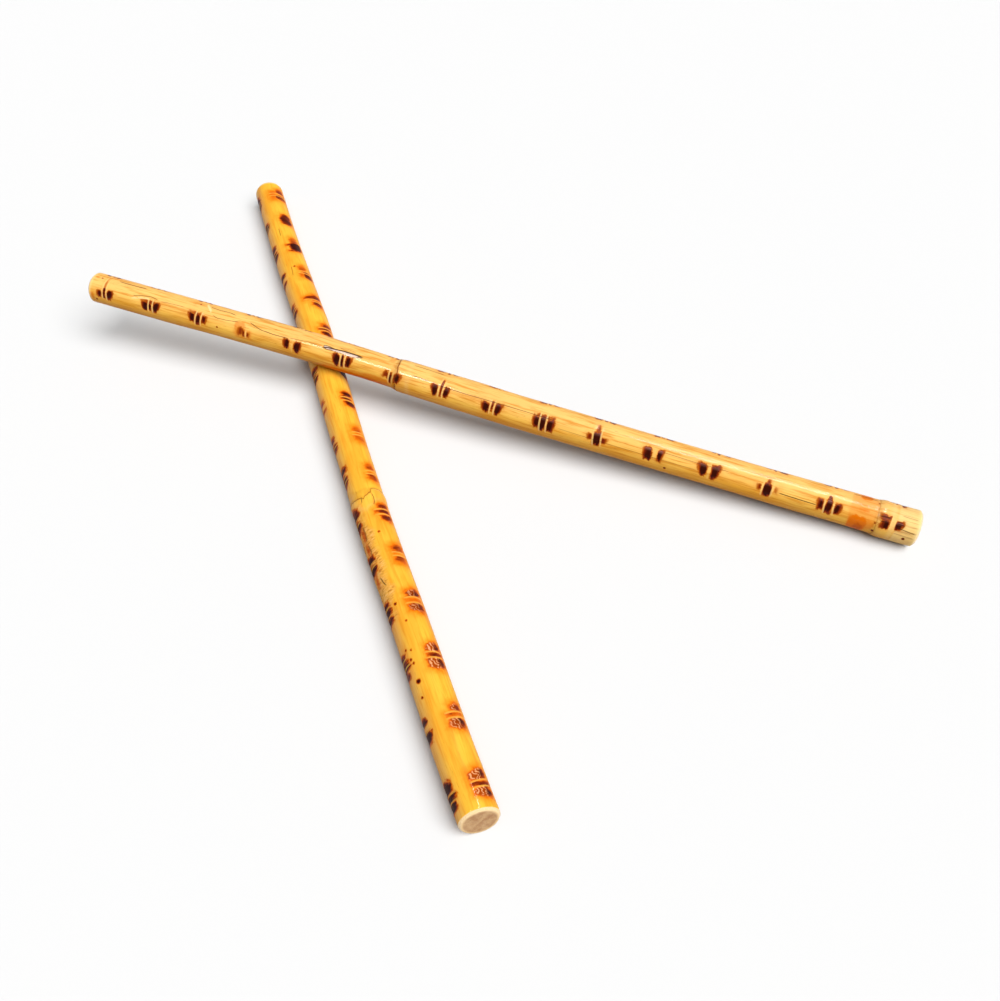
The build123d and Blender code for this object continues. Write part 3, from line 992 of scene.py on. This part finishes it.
def cane_skin(name, cane, shift):
    """Varnished rattan, built up in layers over what the points' attributes say."""
    tree = Tree(name)
    place = tree.attribute("cane")
    heat = tree.parts(tree.attribute("burn"))[2]
    flake = tree.parts(tree.attribute("split"))[2]
    node_pale = tree.parts(tree.attribute("node"))[2]
    rough, _, bare = tree.parts(tree.attribute("skin"))
    ragged = tree.noise(place, (0.32, 1.6), 3, 0.6, shift + 13)
    wrinkles = tree.noise(place, (0.75, 0.24), 2, 0.6, shift + 25)
    fan = tree.fan(place, tree.parts(tree.attribute("ring"))[0])
    strokes = tree.noise(fan, (0.55, 0.09), 2, 0.6, shift + 29)
    fibres = paint_fibres(tree, place, cane, shift)

    # Wrinkled dull skin, the pale ring past a node, and bare grooved fibres
    tree.paint(rough * 0.75, DULL_SKIN)
    tree.paint(rough * wrinkles.step(0.47, 0.36) * 0.5, PALE_SHEEN_AND_WRINKLES)
    tree.paint(rough * wrinkles.step(0.52, 0.66) * 0.6, cane.streak)
    tree.paint(node_pale * 0.5, PALE_SKIN_AND_GLINT)
    tree.paint(bare * 0.5, PALE_SKIN_AND_GLINT)
    tree.paint(bare * fibres.step(0.54, 0.66) * 0.45, cane.streak)

    # Heat's tint, also painted shade and warm bounce light where patches put it past the crossing, and grey
    # flakes of lifted varnish with a dark outline
    tree.paint((heat + (ragged - 0.5) * 0.3 * heat).step(0.0, 0.9), cane.heat)
    tree.paint(heat.step(0.95, 1.7), SCALD)
    flaked = (flake + (fibres - 0.5) * 0.9).step(-0.1, 0.3)
    tree.paint(flaked * 0.7, SCUFF)
    outline = abs(flake + (ragged - 0.5) * 0.6).step(0.34, 0.12)
    tree.paint(outline * 0.75, CRACK)

    char = paint_scorch(tree, cane, place, strokes, fibres, ragged)
    node_line, dark_line = paint_cracks(tree, cane, ragged)
    from_middle = abs(tree.parts(place)[0] - HALF_LENGTH) + (ragged - 0.5) * 2
    tree.paint(from_middle.step(HALF_LENGTH - WORN_FROM, HALF_LENGTH - WORN_TO) * 0.7, PALE_SKIN_AND_GLINT)

    height = (fibres * (0.35 + bare * 0.9) + rough * wrinkles * 0.8 - dark_line * 0.9 - node_line
              - char * ragged * 0.5)
    tree.relief(height, SKIN_BUMP)
    tree.shader.inputs["Specular IOR Level"].default_value = BASE_SPECULAR
    tree.shader.inputs["Coat IOR"].default_value = COAT_IOR
    roughness = cane.gloss + fibres * 0.12 + rough * 0.28 + flaked * 0.2 + char * 0.08
    return tree.finish(roughness, COAT_WEIGHT, COAT_ROUGHNESS)


def chamfer_finish():
    """The sanded edge, where the pale cortex shows."""
    tree = Tree("pale_chamfer")
    fibres = tree.noise(tree.attribute("cane"), (0.4, 2.5), 2, 0.6)
    tree.colour = CHAMFER_PALE
    tree.paint(fibres.step(0.35, 0.7), CHAMFER_DEEP)
    tree.relief(fibres, CHAMFER_BUMP)
    return tree.finish(fibres * 0.2 + 0.4, coat=0.2, coat_roughness=0.2)


def end_grain():
    """The sawn face: a mottled tan core full of pores, inside a paler rim."""
    tree = Tree("end_grain")
    place = tree.attribute("cane")
    pores = tree.cells(place, (0.0, 0.95))
    mottle = tree.noise(place, (0.0, 0.22), 4, 0.65)
    _, up, side = tree.parts(place)
    from_centre = tree.math("SQRT", up * up + side * side)
    tree.colour = CORE_PALE
    tree.paint(mottle.step(0.3, 0.7), CORE_DEEP)
    tree.paint(pores.step(0.30, 0.14) * 0.45, PORE)
    tree.paint(from_centre.step(9.2, 11.0) * 0.85, CORE_RIM)
    tree.relief(pores.step(0.1, 0.4) + mottle * 0.5, SAWN_BUMP)
    return tree.finish(mottle * 0.2 + 0.55, coat=0.0, coat_roughness=0.3)


# ---- Stage, lights and camera

FLOOR_SIZE = 16.0  # metres
FLOOR_COLOUR = (0.52, 0.52, 0.52, 1.0)
WORLD_STRENGTH = 0.24
SUN_STRENGTH = 6.1
SUN_SPREAD = 52.0  # degrees across
SUN_FROM = (0.56, -0.24, 1.0)
WHITE = (1.0, 1.0, 1.0, 1.0)

# Softboxes for the varnish's highlights: name, place, what it faces, size (all in metres) and watts
STRIPS = [
    ("strip_behind_butt", (0.73, 1.9, 4.5), (0.73, 0.0, 0.0), (1.32, 0.46), 140.0),
    ("strip_over_butt", (0.73, 0.67, 4.5), (0.73, 0.0, 0.0), (1.32, 0.46), 170.0),
    ("strip_over_tip", (-1.67, -2.1, 4.5), (-1.67, 0.0, 0.0), (0.88, 0.80), 150.0),
]


def build_floor():
    half = FLOOR_SIZE / 2
    mesh = bpy.data.meshes.new("floor")
    corners = [(-half, -half, 0), (half, -half, 0), (half, half, 0), (-half, half, 0)]
    mesh.from_pydata(corners, [], [(0, 1, 2, 3)])
    floor = add_object("floor", mesh)
    tree = Tree("floor_paper")
    tree.shader.inputs["Base Color"].default_value = FLOOR_COLOUR
    tree.shader.inputs["Roughness"].default_value = 1.0
    tree.shader.inputs["Specular IOR Level"].default_value = 0.0
    mesh.materials.append(tree.material)


def build_light(name, place, target, size, watts):
    """A rectangular softbox that only shows in the varnish. Its first side is the one nearest to X."""
    light = bpy.data.lights.new(name, "AREA")
    light.shape = "RECTANGLE"
    light.size, light.size_y = size
    light.energy = watts
    lamp = add_object(name, light)
    down = (Vector(place) - Vector(target)).normalized()
    along = (Vector((1, 0, 0)) - down * down.x).normalized()
    facing = Matrix((along, down.cross(along), down)).transposed().to_4x4()
    lamp.matrix_world = Matrix.Translation(place) @ facing
    lamp.visible_diffuse = False


def build_sun():
    """The key light: broad and soft, from the right. Only the strips show in the varnish."""
    light = bpy.data.lights.new("key", "SUN")
    light.energy = SUN_STRENGTH
    light.angle = math.radians(SUN_SPREAD)
    lamp = add_object("key", light)
    lamp.rotation_mode = "QUATERNION"
    lamp.rotation_quaternion = Vector(SUN_FROM).to_track_quat("Z", "Y")
    lamp.visible_glossy = False


def build_world():
    world = bpy.data.worlds.new("studio")
    world.use_nodes = True
    background = world.node_tree.nodes["Background"]
    background.inputs["Color"].default_value = WHITE
    background.inputs["Strength"].default_value = WORLD_STRENGTH
    bpy.context.scene.world = world


CAMERA_PLACE = (0.20313, -0.41896, 0.52094)  # metres
CAMERA_TURN = 21.57  # degrees to the left of +Y
CAMERA_DOWN = 50.79  # degrees below level
CAMERA_ROLL = -1.28
SENSOR_WIDTH = 36.0
CAMERA_FIELD = 57.0  # degrees across the picture


def build_camera():
    camera = bpy.data.cameras.new("camera")
    camera.sensor_fit = "HORIZONTAL"
    camera.sensor_width = SENSOR_WIDTH
    camera.lens = SENSOR_WIDTH / 2 / math.tan(math.radians(CAMERA_FIELD) / 2)
    holder = add_object("camera", camera)
    turn, down, roll = (math.radians(x) for x in (CAMERA_TURN, CAMERA_DOWN, CAMERA_ROLL))
    ahead = Vector((-math.sin(turn) * math.cos(down), math.cos(turn) * math.cos(down), -math.sin(down)))
    level = Vector((math.cos(turn), math.sin(turn), 0.0))
    above = level.cross(ahead)
    right = math.cos(roll) * level + math.sin(roll) * above
    up = math.cos(roll) * above - math.sin(roll) * level
    facing = Matrix((right, up, -ahead)).transposed().to_4x4()
    holder.matrix_world = Matrix.Translation(CAMERA_PLACE) @ facing
    bpy.context.scene.camera = holder


# ---- The scene

HIDDEN_SEED = 11
UPPER_SEED = 21
LOWER_SEED = 22
LOWER_NOISE_SHIFT = 40.0  # moves the noise, so that the two canes differ

hidden = random.Random(HIDDEN_SEED)
upper_marks = UPPER_FRONT_MARKS + hidden_row(hidden, UPPER_UNDER_ROW) + hidden_row(hidden, UPPER_BACK_ROW)
lower_marks = LOWER_LEFT_MARKS + LOWER_RIGHT_MARKS + hidden_row(hidden, LOWER_UNDER_ROW)
upper = build_cane("upper_cane", "upper_stick", STRAW, UPPER_SEED, upper_marks, UPPER_DOTS, UPPER_SPLITS,
                   UPPER_NODES, UPPER_FLAKES, UPPER_HEAT_AND_SHADE, bare_from=UPPER_BARE_FROM)
lower = build_cane("lower_cane", "lower_stick", AMBER, LOWER_SEED, lower_marks, LOWER_DOTS, LOWER_SPLITS,
                   LOWER_NODES, rough=ROUGH_SKIN, off_square=LOWER_OFF_SQUARE)
edge_finish, sawn_finish = chamfer_finish(), end_grain()
straw_skin = cane_skin("straw_skin", STRAW, 0.0)
amber_skin = cane_skin("amber_skin", AMBER, LOWER_NOISE_SHIFT)
for piece, skin in ((upper, straw_skin), (lower, amber_skin)):
    for material in (skin, edge_finish, sawn_finish):
        piece.data.materials.append(material)

build_floor()
build_world()
build_sun()
for strip in STRIPS:
    build_light(*strip)
build_camera()
bpy.context.scene.view_settings.view_transform = "Standard"
